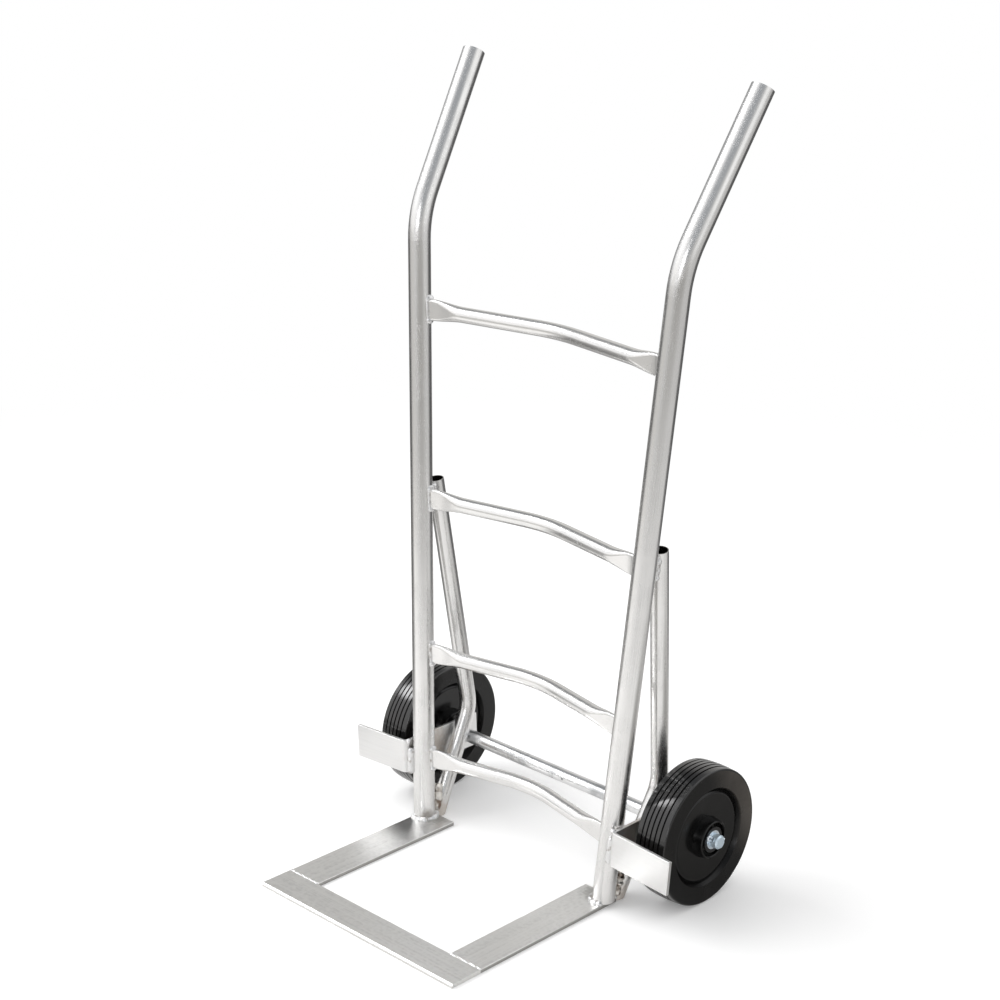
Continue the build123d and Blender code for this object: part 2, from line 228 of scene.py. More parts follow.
@dataclass(frozen=True)
class Effects:
    """Node groups for what several finishes share, each built the first time it is asked for."""

    mirror_shift: Place = (3.0, 5.0, 7.0)
    bend_blend: Span = (-0.03, 0.03)
    bend_length: float = 0.08
    line_shift: float = 5.0
    line_stretch: float = 0.012
    scratch_turns: tuple[float, ...] = (0.5, 1.9, 2.6)
    scratch_axes: Place = (1.0, 1.7, 0.6)
    scratch_scale: Place = (900.0, 900.0, 16.0)
    scratch_range: Span = (0.74, 0.80)
    scratched_clouds: Span = (0.42, 0.62)
    scratch_depth: float = 0.8
    haze_scale: float = 160.0
    haze_unevenness: float = 0.7
    haze_range: Span = (0.35, 1.0)
    ring_shift: float = 3.0
    ring_wander: float = 0.01
    ring_share: float = 0.6
    grain_scale: float = 2600.0
    grain_share: float = 0.4

    def start(self, name: str, **inputs: object) -> tuple[Tree, Outputs]:
        """Starts a node group.

        Args:
            name: Name of the group.
            inputs: Default of each input, a number or a vector.

        Returns:
            The group's tree and its input sockets.
        """
        group = bpy.data.node_groups.new(name, "ShaderNodeTree")
        for key, default in inputs.items():
            kind = "NodeSocketFloat" if isinstance(default, float) else "NodeSocketVector"
            group.interface.new_socket(label(key), in_out="INPUT", socket_type=kind).default_value = default
        tree = Tree(group)
        return tree, tree.add("NodeGroupInput")

    def close(self, tree: Tree, **outputs: Socket) -> NodeTree:
        """Puts numbers out of a node group.

        Args:
            tree: The group's tree.
            outputs: The number that each output puts out.

        Returns:
            The finished group.
        """
        for key in outputs:
            tree.tree.interface.new_socket(label(key), in_out="OUTPUT", socket_type="NodeSocketFloat")
        tree.add("NodeGroupOutput", {label(key): source for key, source in outputs.items()})
        return tree.tree

    def clouds(self, tree: Tree, place: Socket, left: Socket, size: Socket) -> tuple[Socket, Socket]:
        """Place without its mirror image, and soft clouds of a size there from 0 to 1."""
        own_place = tree.vector("ADD", place, tree.scaled(self.mirror_shift, left))
        return own_place, tree.noise(own_place, tree.math("DIVIDE", 1.0, size), detail=4.0)

    @cached_property
    def drawn(self) -> NodeTree:
        """Lines, clouds and scratches along a bar or tube with one bend, its bore, and the height there."""
        tree, given = self.start(
            "Drawn lines", bend_point=(0.0, 0.0, 0.0), lower_run=UPWARDS, upper_run=UPWARDS,
            line_spacing=0.0006, cloud_size=0.03, bore_radius=0.0,
        )
        place, left = tree.mirrored_place()
        from_bend = tree.vector("SUBTRACT", place, given["Bend Point"])
        both_runs = tree.vector("ADD", given["Lower Run"], given["Upper Run"])
        upper = tree.ramp(tree.vector("DOT_PRODUCT", from_bend, both_runs), self.bend_blend)
        pitch = tree.math("DIVIDE", 1.0, given["Line Spacing"])
        lines = []
        for run in (given["Lower Run"], given["Upper Run"]):
            along = tree.vector("DOT_PRODUCT", from_bend, run)
            across = tree.vector("SUBTRACT", from_bend, tree.scaled(run, along))
            length = tree.scaled(run, tree.math("MULTIPLY_ADD", left, self.line_shift, along))
            stretched = tree.vector("ADD", across, tree.scaled(length, self.line_stretch))
            lines.append(tree.noise(stretched, pitch, detail=3.0))
        line = tree.blend(upper, *lines)
        # Along and across are those of the upper run here
        past_curve = tree.math("GREATER_THAN", along, self.bend_length)
        # Mask of the bore, where the finish paints shade
        in_bore = tree.math("LESS_THAN", tree.vector("LENGTH", across), given["Bore Radius"])
        own_place, clouds = self.clouds(tree, place, left, given["Cloud Size"])
        thin = []
        for angle in self.scratch_turns:
            turn = tuple(angle * share for share in self.scratch_axes)
            mapping = {"Vector": own_place, "Rotation": turn, "Scale": self.scratch_scale}
            turned = tree.add("ShaderNodeMapping", mapping, vector_type="POINT")[0]
            thin.append(tree.ramp(tree.noise(turned, 1.0, detail=0.0), self.scratch_range))
        scratched = tree.ramp(clouds, self.scratched_clouds)
        scratches = tree.math("MULTIPLY", tree.chain("MAXIMUM", *thin), scratched)
        return self.close(
            tree, lines=line, clouds=clouds, scratches=scratches,
            height=tree.math("SUBTRACT", line, tree.math("MULTIPLY", scratches, self.scratch_depth)),
            inside=tree.math("MULTIPLY", in_bore, past_curve),
            height_above_floor=tree.vector("DOT_PRODUCT", place, UPWARDS),
        )

    @cached_property
    def haze(self) -> NodeTree:
        """Soft uneven spot round a point, such as the one that the heat of a weld leaves."""
        tree, given = self.start("Weld haze", centre=(0.0, 0.0, 0.0), radius=0.03)
        place, _ = tree.mirrored_place()
        distance = tree.math("DIVIDE", tree.vector("DISTANCE", place, given["Centre"]), given["Radius"])
        wobble = tree.noise(place, self.haze_scale, detail=3.0)
        uneven = tree.math("MULTIPLY_ADD", wobble, self.haze_unevenness, -self.haze_unevenness / 2)
        edge = tree.math("ADD", distance, uneven)
        return self.close(tree, mask=tree.ramp(edge, self.haze_range, (1.0, 0.0)))

    @cached_property
    def turned(self) -> NodeTree:
        """Lines, clouds and grain round the axle's line, and distances from it, sideways and along a way."""
        tree, given = self.start("Turned lines", line_spacing=0.0006, cloud_size=0.02, way=UPWARDS)
        place, left = tree.mirrored_place()
        from_axle = tree.vector("SUBTRACT", place, (0.0, LAYOUT.axle_y, LAYOUT.axle_z))
        sideways = tree.vector("DOT_PRODUCT", from_axle, SIDEWAYS)
        spoke = tree.vector("MULTIPLY", from_axle, (0.0, 1.0, 1.0))
        radius = tree.vector("LENGTH", spoke)
        parts = {"X": sideways, "Y": radius, "Z": tree.math("MULTIPLY", left, self.ring_shift)}
        ring = tree.add("ShaderNodeCombineXYZ", parts)[0]
        wandering = tree.vector("ADD", ring, tree.scaled(spoke, self.ring_wander))
        lines = tree.noise(wandering, tree.math("DIVIDE", 1.0, given["Line Spacing"]))
        own_place, clouds = self.clouds(tree, place, left, given["Cloud Size"])
        grain = tree.noise(own_place, self.grain_scale)
        grained = tree.math("MULTIPLY", grain, self.grain_share)
        height = tree.math("MULTIPLY_ADD", lines, self.ring_share, grained)
        along = tree.vector("DOT_PRODUCT", from_axle, given["Way"])
        return self.close(
            tree, lines=lines, clouds=clouds, grain=grain, height=height,
            radius=radius, sideways=sideways, along=along,
        )


EFFECTS = Effects()


def surface(name: str) -> tuple[Material, Tree]:
    """Starts a material.

    Args:
        name: Name of the material.

    Returns:
        The material and its tree.
    """
    material = bpy.data.materials.new(name)
    material.use_nodes = True
    return material, Tree(material.node_tree)


@dataclass(frozen=True)
class DrawnAluminium:
    """Bare drawn or rolled aluminium with lines along one bent run, dulled near its welds, with painted
    shade inside its bore and, where asked, on its faces below a height.
    """

    drawn_inputs = ("bend_point", "lower_run", "upper_run", "line_spacing", "cloud_size", "bore_radius")
    name: str
    bend_point: Place
    lower_run: Place
    upper_run: Place
    haze_centres: tuple[Place, ...] = ()
    haze_radius: float = 0.028
    haze_share: float = 0.55
    haze_roughness: float = 0.22
    bore_radius: float = 0.0
    bright: Colour = (0.90, 0.895, 0.885)
    dull: Colour = (0.80, 0.795, 0.785)
    scorched: Colour = (0.62, 0.53, 0.44)
    # Painted shade inside the bore
    in_bore: Colour = (0.16, 0.155, 0.15)
    wear_range: Span = (0.3, 0.7)
    roughness: Span = (0.22, 0.34)
    scratch_roughness: float = 0.12
    line_spacing: float = 0.0009
    line_depth: float = 0.00004
    cloud_size: float = 0.045
    # Painted shade on the faces below a height, in the edge colour
    edge_height: float = 0.0
    edge_fade: float = 0.0008
    edge: Colour = (0.42, 0.415, 0.40)

    @cached_property
    def material(self) -> Material:
        """The material."""
        material, tree = surface(self.name)
        drawn = tree.group(EFFECTS.drawn, **{name: getattr(self, name) for name in self.drawn_inputs})
        lines, clouds = (tree.ramp(drawn[name], self.wear_range) for name in ("Lines", "Clouds"))
        wear = tree.math("MULTIPLY", lines, clouds)
        colour = tree.tint(wear, self.bright, self.dull)
        roughness = tree.blend(wear, *self.roughness)
        roughness = tree.math("MULTIPLY_ADD", drawn["Scratches"], self.scratch_roughness, roughness)
        if self.haze_centres:
            masks = []
            for centre in self.haze_centres:
                masks.append(tree.group(EFFECTS.haze, centre=centre, radius=self.haze_radius)["Mask"])
            haze = tree.chain("MAXIMUM", *masks)
            colour = tree.tint(tree.math("MULTIPLY", haze, self.haze_share), colour, self.scorched)
            roughness = tree.math("MULTIPLY_ADD", haze, self.haze_roughness, roughness)
        # Painted shade inside the bore, past the bend
        colour = tree.tint(drawn["Inside"], colour, self.in_bore)
        # Painted shade: faces below the height take the edge colour
        if self.edge_height:
            fade = (self.edge_height - self.edge_fade, self.edge_height)
            colour = tree.tint(tree.ramp(drawn["Height Above Floor"], fade), self.edge, colour)
        normal = tree.bump(drawn["Height"], self.line_depth)
        tree.finish(base_color=colour, roughness=roughness, normal=normal, metallic=1.0)
        return material


@dataclass(frozen=True)
class WeldMetal:
    """Bright rippled weld metal with soot in its hollows."""

    name: str = "weld_metal"
    bright: Colour = (0.88, 0.88, 0.88)
    sooty: Colour = (0.45, 0.42, 0.39)
    patch_size: float = 0.007
    soot_range: Span = (0.52, 0.78)
    pit_scale: float = 900.0
    pit_range: Span = (0.2, 0.8)
    pit_depth: float = 0.0003
    roughness: Span = (0.22, 0.46)

    @cached_property
    def material(self) -> Material:
        """The material."""
        material, tree = surface(self.name)
        place, _ = tree.mirrored_place()
        soot = tree.ramp(tree.noise(place, 1.0 / self.patch_size, detail=1.2), self.soot_range)
        pits = tree.noise(place, self.pit_scale, detail=3.0)
        tree.finish(
            base_color=tree.tint(soot, self.bright, self.sooty),
            roughness=tree.ramp(pits, self.pit_range, self.roughness),
            normal=tree.bump(pits, self.pit_depth, strength=0.5),
            metallic=1.0,
        )
        return material


@dataclass(frozen=True)
class ZincPlate:
    """Zinc-plated steel: bright metal with faint turning lines and milky clouds.

    Beyond a radius it can be nylon, and beyond a distance from the truck's middle it can be bluish.
    """

    name: str
    bright: Colour = (0.93, 0.935, 0.94)
    milky: Colour = (0.60, 0.61, 0.62)
    roughness: Span = (0.20, 0.30)
    metallic: float = 1.0
    line_spacing: float = 0.0007
    line_depth: float = 0.00003
    line_roughness: float = 0.08
    cloud_size: float = 0.02
    cloud_range: Span = (0.30, 0.60)
    band_spacing: float = 0.05
    band_range: Span = (0.40, 0.58)
    nylon_radius: float = 0.0
    nylon: Colour = (0.016, 0.016, 0.017)
    end_from: float = 0.0
    end_colour: Colour = (0.74, 0.87, 0.97)
    end_metallic: float = 0.6

    @cached_property
    def material(self) -> Material:
        """The material."""
        material, tree = surface(self.name)
        turned = tree.group(EFFECTS.turned, line_spacing=self.line_spacing, cloud_size=self.cloud_size)
        bands = tree.group(EFFECTS.turned, line_spacing=self.band_spacing)["Lines"]
        clouds = tree.ramp(turned["Clouds"], self.cloud_range)
        clouds = tree.math("MULTIPLY", clouds, tree.ramp(bands, self.band_range))
        colour = tree.tint(clouds, self.bright, self.milky)
        metallic = self.metallic
        if self.nylon_radius:
            plated = tree.math("LESS_THAN", turned["Radius"], self.nylon_radius)
            colour = tree.tint(plated, self.nylon, colour)
            metallic = tree.math("MULTIPLY", plated, metallic)
        if self.end_from:
            end = tree.math("GREATER_THAN", turned["Sideways"], self.end_from)
            colour = tree.tint(end, colour, self.end_colour)
            metallic = tree.blend(end, metallic, self.end_metallic)
        roughness = tree.blend(clouds, *self.roughness)
        roughness = tree.math("MULTIPLY_ADD", turned["Lines"], self.line_roughness, roughness)
        normal = tree.bump(turned["Height"], self.line_depth)
        tree.finish(base_color=colour, roughness=roughness, normal=normal, metallic=metallic)
        return material


@dataclass(frozen=True)
class Moulded:
    """Black moulded rubber or plastic with a fine skin, faint mould lines and a pale bloom.

    From a radius on it can be a glossy tread, inside which the outer wall has a pale dusting with a painted
    sheen.
    """

    name: str
    colour: Colour
    bloom: Colour
    roughness: Span
    grain_depth: float
    grain_roughness: float = 0.06
    line_spacing: float = 0.0012
    cloud_size: float = 0.025
    cloud_range: Span = (0.40, 0.72)
    bloom_amount: float = 0.35
    specular: float = 0.5
    tread_radius: float = 0.0
    tread_fade: float = 0.004
    coat_roughness: float = 0.12
    coat_ior: float = 1.55
    wall_inset: float = 0.003
    outer_wall: Span = (0.272, 0.278)
    # Pale dusting on the outer wall, which also stands for a painted sheen
    dusty: Colour = (0.125, 0.110, 0.095)
    dusty_way: Place = (0.0, 0.88, 0.47)
    dusty_reach: Span = (0.03, 0.10)
    dusty_clouds: Span = (0.15, 0.70)
    dusty_share: Span = (0.45, 1.0)

    @cached_property
    def material(self) -> Material:
        """The material."""
        material, tree = surface(self.name)
        turned = tree.group(
            EFFECTS.turned, line_spacing=self.line_spacing, cloud_size=self.cloud_size, way=self.dusty_way
        )
        clouds = tree.ramp(turned["Clouds"], self.cloud_range)
        bloom = tree.chain("MULTIPLY", clouds, turned["Lines"], self.bloom_amount)
        colour = tree.tint(bloom, self.colour, self.bloom)
        if self.tread_radius:
            # Pale dusting with a painted sheen on the outer wall
            colour = tree.tint(self.dust(tree, turned), colour, self.dusty)
            fade = (self.tread_radius - self.tread_fade, self.tread_radius)
            tread = tree.ramp(turned["Radius"], fade)
            tree.finish(coat_weight=tread, coat_roughness=self.coat_roughness, coat_ior=self.coat_ior)
        roughness = tree.blend(clouds, *self.roughness)
        roughness = tree.math("MULTIPLY_ADD", turned["Grain"], self.grain_roughness, roughness)
        normal = tree.bump(turned["Height"], self.grain_depth)
        tree.finish(base_color=colour, roughness=roughness, normal=normal, specular_ior_level=self.specular)
        return material

    def dust(self, tree: Tree, turned: Outputs) -> Socket:
        """Share of pale dusting with a painted sheen on the outer wall of a tyre, thickest on one side of
        the axle.
        """
        wall = tree.math("LESS_THAN", turned["Radius"], self.tread_radius - self.wall_inset)
        return tree.chain(
            "MULTIPLY",
            wall,
            tree.ramp(turned["Sideways"], self.outer_wall),
            tree.ramp(turned["Along"], self.dusty_reach),
            tree.ramp(turned["Clouds"], self.dusty_clouds, self.dusty_share),
        )


Finish = DrawnAluminium | WeldMetal | ZincPlate | Moulded


@dataclass(frozen=True)
class Ripple:
    """Ripples of a weld bead: their spacing, and their depth and unevenness as shares of its radius."""

    spacing: float = 0.0034
    depth: float = 0.16
    waver: float = 0.14


@dataclass
class Bead:
    """Run of weld metal: a rope with stacked ripples, rounded off at open ends."""

    name: str
    line: list[Vector]
    radius: float
    slot: str
    ripple: Ripple = Ripple()
    finish: WeldMetal = WeldMetal()
    closed: bool = False
    step: float = 0.0007
    fewest_steps: int = 8
    sides: int = 12
    mean_swell: float = 0.64
    seed_step: float = 1.7
    waver_length: float = 0.006
    end_length: float = 1.2

    @property
    def points(self) -> list[Vector]:
        """Points along the line, evenly spaced by about one step."""
        corners = self.line + self.line[:1] if self.closed else self.line
        lengths = [(b - a).length for a, b in zip(corners, corners[1:])]
        total = sum(lengths)
        count = max(self.fewest_steps, round(total / self.step))
        points = []
        index = 0
        passed = 0.0
        for number in range(count if self.closed else count + 1):
            distance = total * number / count
            while index < len(lengths) - 1 and passed + lengths[index] < distance:
                passed += lengths[index]
                index += 1
            points.append(corners[index].lerp(corners[index + 1], (distance - passed) / lengths[index]))
        return points

    def girth(self, distance: float, total: float) -> float:
        """Radius of the rope at a place.

        Args:
            distance: Distance of the place along the rope.
            total: Length of the rope.

        Returns:
            The radius.
        """
        ripples = total / self.ripple.spacing
        if self.closed:
            ripples = max(1, round(ripples))
        swell = abs(math.sin(math.pi * ripples * distance / total)) - self.mean_swell
        seat = Vector((sum(map(ord, self.name)) * self.seed_step, distance / self.waver_length, 0.0))
        size = self.radius * (1.0 + self.ripple.depth * swell + self.ripple.waver * noise.noise(seat))
        if self.closed:
            return size
        from_end = min(distance, total - distance) / (self.end_length * self.radius)
        return size * math.sqrt(max(0.0, 1.0 - (1.0 - min(1.0, from_end)) ** 2))

    def mesh(self) -> bpy.types.Mesh:
        """Builds the rope, and joins the ends of a closed one where they are nearest.

        Returns:
            A closed mesh.
        """
        points = self.points
        count = len(points)
        gap = (points[1] - points[0]).length
        total = gap * (count if self.closed else count - 1)
        turns = [360.0 * turn / self.sides for turn in range(self.sides)]
        vertices = []
        side = None
        rings = range(count) if self.closed else range(1, count - 1)
        for index in rings:
            ahead = (points[(index + 1) % count] - points[index - 1]).normalized()
            side = ahead.orthogonal() if side is None else side - ahead * side.dot(ahead)
            side.normalize()
            other = ahead.cross(side)
            size = self.girth(index * gap, total)
            vertices.extend(arc(points[index], side * size, other * size, turns))
        made = len(rings)
        faces = []
        for ring in range(made if self.closed else made - 1):
            start, following = ring * self.sides, (ring + 1) % made * self.sides
            gaps = [(vertices[start] - vertices[following + turn]).length for turn in range(self.sides)]
            shift = 0 if following else gaps.index(min(gaps))
            near = [start + turn % self.sides for turn in range(self.sides + 1)]
            far = [following + (turn + shift) % self.sides for turn in range(self.sides + 1)]
            faces += zip(near, near[1:], far[1:], far)
        if not self.closed:
            for tip, start in ((points[0], 0), (points[-1], (made - 1) * self.sides)):
                vertices.append(tip)
                for turn in range(self.sides):
                    pair = (start + (turn + 1) % self.sides, start + turn)
                    faces.append((*(pair if start == 0 else reversed(pair)), len(vertices) - 1))
        mesh = bpy.data.meshes.new(self.name)
        mesh.from_pydata(vertices, [], faces)
        mesh.shade_smooth()
        return mesh

    def lay(self) -> None:
        """Puts the bead on the frame."""
        piece = bpy.data.objects.new(self.name, self.mesh())
        bpy.context.scene.collection.objects.link(piece)
        piece.data.materials.append(self.finish.material)
        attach(piece, "frame")
        log.info("%s: weld bead", self.name)


def dress(names: Iterable[str], finish: Finish) -> None:
    """Gives nodes a finish.

    Args:
        names: Names of the nodes.
        finish: The finish that they get.
    """
    for name in names:
        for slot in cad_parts[name].material_slots:
            slot.material = finish.material
        log.info("%s: %s", name, finish.name)


def both(name: str) -> list[str]:
    """Names of a node and its mirror image."""
    return [f"{side}_{name}" for side in Side]


@dataclass
class Stiles:
    """The two bent tubes, with the welds round their feet and the soot beside those."""

    bend_height: float = 0.900
    handle_angle: float = 30.0
    handle_splay: float = 2.0
    wall: float = 0.002
    foot_bead: float = 0.0040
    foot_ripple: Ripple = Ripple(0.0058, 0.2, 0.6)
    bead_out: float = 0.3
    bead_up: float = 0.2
    bare_arc: int = 52
    arc_step: int = 4
    soot: tuple[tuple[float, Place], ...] = ((0.018, BACKWARDS), (0.009, (-0.87, -0.49, 0.0)))

    @property
    def finish(self) -> DrawnAluminium:
        """Finish of the tubes, with soot at heights on sides of the foot."""
        back = slope(self.handle_angle)
        handle = Vector((slope(LAYOUT.flare) + back * slope(self.handle_splay), back, 1.0))
        return DrawnAluminium(
            "stile_aluminium", LAYOUT.stile_axis(self.bend_height), LAYOUT.stile_run, handle.normalized(),
            tuple(LAYOUT.stile_axis(z) + Vector(way) * LAYOUT.stile_radius for z, way in self.soot),
            haze_radius=0.017, bore_radius=LAYOUT.stile_radius - self.wall / 2, scorched=(0.30, 0.25, 0.21),
        )

    def build(self) -> None:
        """Dresses the tubes and lays the welds round their feet."""
        dress(both("stile"), self.finish)
        middle = LAYOUT.stile_axis(LAYOUT.toe_top) + UPWARDS * (self.bead_up * self.foot_bead)
        radius = LAYOUT.stile_radius + self.bead_out * self.foot_bead
        angles = range(self.bare_arc, 361 - self.bare_arc, self.arc_step)
        ring = arc(middle, SIDEWAYS * radius, BACKWARDS * radius, angles)
        for side in Side:
            Bead(f"{side}_foot_weld", side.line(ring), self.foot_bead, "stile_tube", self.foot_ripple).lay()


@dataclass
class Rungs:
    """The four pressed tubes between the stiles, with the welds round their ends."""

    names: tuple[str, ...] = ("top_rung", "upper_rung", "lower_rung", "bottom_rung")
    heights: tuple[float, ...] = (0.768, 0.495, 0.263, 0.100)
    set_back: float = 0.042
    pressed_height: float = 0.03056
    pressed_thickness: float = 0.007
    bead: float = 0.0022
    bead_up: float = 0.1
    bead_out: float = 0.3
    loop_points: int = 48
    loop_power: float = 0.6
    loop_start: float = 0.048
    lump: float = 0.0044
    lump_ripple: Ripple = Ripple(waver=0.45)
    lump_reach: int = 7

    def run(self, height: float) -> Vector:
        """Direction along the right half of a rung, towards its stile."""
        return Vector((LAYOUT.stile_axis(height).x, -self.set_back, 0.0)).normalized()

    @property
    def finish(self) -> DrawnAluminium:
        """Finish of the tubes."""
        middle = sum(self.heights) / len(self.heights)
        bend = (0.0, LAYOUT.stile_axis(middle).y + self.set_back, middle)
        run = self.run(middle)
        return DrawnAluminium("rung_aluminium", bend, run, run, roughness=(0.20, 0.31))

    def loop(self, height: float) -> list[Vector]:
        """Line round the right end of a rung, on the stile's surface.

        Args:
            height: Height of the rung.

        Returns:
            Points of the line.
        """
        run = self.run(height)
        across = run.cross(UPWARDS)
        start = LAYOUT.stile_axis(height) - run * self.loop_start
        half_height = self.pressed_height / 2 + self.bead_up * self.bead
        half_width = self.pressed_thickness / 2 + self.bead_out * self.bead
        line = []
        for number in range(self.loop_points):
            angle = math.tau * number / self.loop_points
            wide, tall = (
                math.copysign(abs(share) ** self.loop_power, share) * half
                for share, half in ((math.cos(angle), half_width), (math.sin(angle), half_height))
            )
            origin = start + across * wide + UPWARDS * tall
            hit, point, _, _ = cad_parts["right_stile"].ray_cast(origin, run)
            line.append(point if hit else origin)
        return line

    def build(self) -> None:
        """Dresses the tubes and lays the welds round their ends."""
        dress(self.names, self.finish)
        quarter = self.loop_points // 4
        for name, height in zip(self.names, self.heights):
            loop = self.loop(height)
            for side in Side:
                line = side.line(loop)
                Bead(f"{name}_{side}_weld", line, self.bead, "rung_tube", closed=True).lay()
                for end, middle in (("upper", quarter), ("lower", 3 * quarter)):
                    part = line[middle - self.lump_reach:middle + self.lump_reach + 1]
                    Bead(f"{name}_{side}_{end}_weld", part, self.lump, "rung_tube", self.lump_ripple).lay()


@dataclass
class Braces:
    """The bent tubes behind the stiles, with the welds at their tops and feet.

    A point of a foot weld has a height, a distance behind the stile's axis and one to the side of it.
    A pass has a height, a distance behind that axis and a radius.
    """

    radius: float = 0.0125
    top: float = 0.516
    seat: float = 0.0008
    bend_y: float = 0.1525
    bend_height: float = 0.152
    foot_back: float = 0.028
    wall: float = 0.0015
    bead: float = 0.0040
    bead_ripple: Ripple = Ripple(waver=0.3)
    bead_aside: float = 0.0092
    top_weld: Span = (0.478, 0.513)
    foot_lump: float = 0.0060
    foot_ripple: Ripple = Ripple(0.0075, 0.18, 0.5)
    foot_weld: tuple[Triple, ...] = (
        (0.008, 0.0180, 0.0080),
        (0.022, 0.0205, 0.0070),
        (0.044, 0.0255, 0.0050),
    )
    passes: tuple[Triple, ...] = (
        (0.012, 0.0190, 0.0046),
        (0.021, 0.0208, 0.0056),
        (0.031, 0.0232, 0.0064),
        (0.041, 0.0250, 0.0070),
    )
    pass_ripple: Ripple = Ripple(0.005, waver=0.5)
    pass_reach: float = 0.0095
    pass_rise: float = 0.003
    burnt: WeldMetal = WeldMetal(
        "burnt_weld_metal",
        bright=(0.88, 0.85, 0.80), sooty=(0.25, 0.19, 0.15),
        patch_size=0.0110, soot_range=(0.45, 0.66), pit_depth=0.0005,
    )

    @property
    def finish(self) -> DrawnAluminium:
        """Finish of the tubes."""
        foot = LAYOUT.beside_stile(LAYOUT.toe_top, self.foot_back)
        bend = Vector((LAYOUT.stile_axis(self.bend_height).x, self.bend_y, self.bend_height))
        top = LAYOUT.beside_stile(self.top, LAYOUT.stile_radius + self.radius - self.seat)
        runs = ((bend - foot).normalized(), (top - bend).normalized())
        bore = self.radius - self.wall / 2
        return DrawnAluminium("brace_aluminium", bend, *runs, (foot,), bore_radius=bore)

    def build(self) -> None:
        """Dresses the tubes and lays the welds where they meet the stiles."""
        dress(both("brace"), self.finish)
        for side in Side:
            name = f"{side}_brace"
            for edge, sign in EDGES:
                line = [LAYOUT.beside_stile(z, back, sign * aside) for z, back, aside in self.foot_weld]
                place = (f"{name}_{edge}_foot_weld", side.line(line))
                Bead(*place, self.foot_lump, "brace_tube", self.foot_ripple, self.burnt).lay()
            for number, (z, back, radius) in enumerate(self.passes):
                middle = LAYOUT.beside_stile(z, back)
                half = LAYOUT.outwards * self.pass_reach + UPWARDS * (self.pass_rise * (-1) ** number)
                place = (f"{name}_foot_pass_{number + 1}", side.line([middle - half, middle + half]))
                Bead(*place, radius, "brace_tube", self.pass_ripple, self.burnt).lay()
            for edge, sign in EDGES:
                aside = sign * self.bead_aside
                line = [LAYOUT.beside_stile(z, LAYOUT.stile_radius, aside) for z in self.top_weld]
                Bead(f"{name}_{edge}_weld", side.line(line), self.bead, "brace_tube", self.bead_ripple).lay()


@dataclass
class ToeFrame:
    """The three flat bars of the toe, with the welds where they butt, the soot beside the stiles and painted
    shade on the side faces of the bars under the stiles.
    """

    side_inner: float = 0.131
    side_outer: float = 0.188
    butt_y: float = -0.2015
    bead: float = 0.0017
    bead_ripple: Ripple = Ripple(0.0028, waver=0.5)
    bead_sunk: float = 0.45
    # Depth below the top face where the painted shade on the side faces begins
    edge_drop: float = 0.0006
    soot_place: Span = (-0.014, 0.010)

    def bar_finish(self, name: str, run: Place, under_stile: bool) -> DrawnAluminium:
        """Finish of a bar with lines along it.

        Args:
            name: Name of the material.
            run: Direction along the bar.
            under_stile: Whether the bar carries a stile, and so has soot there and painted shade on its side
                faces.

        Returns:
            The finish.
        """
        top = LAYOUT.toe_top
        soot = (LAYOUT.foot_x + self.soot_place[0], LAYOUT.foot_y + self.soot_place[1], top)
        return DrawnAluminium(
            name, UPWARDS * top, run, run, (soot,) if under_stile else (), haze_radius=0.034,
            scorched=(0.26, 0.25, 0.225), bright=(0.86, 0.855, 0.84), dull=(0.74, 0.735, 0.72),
            roughness=(0.32, 0.46), line_spacing=0.0035, line_depth=0.00008, cloud_size=0.006,
            edge_height=top - self.edge_drop if under_stile else 0.0,
        )

    def build(self) -> None:
        """Dresses the bars and lays the welds along their butts."""
        dress(["toe_front_bar"], self.bar_finish("toe_front_aluminium", SIDEWAYS, False))
        dress(both("toe_bar"), self.bar_finish("toe_side_aluminium", BACKWARDS, True))
        z = LAYOUT.toe_top - self.bead_sunk * self.bead
        butt = [Vector((x, self.butt_y, z)) for x in (self.side_inner, self.side_outer)]
        for side in Side:
            Bead(f"{side}_toe_weld", side.line(butt), self.bead, "flat_bar", self.bead_ripple).lay()


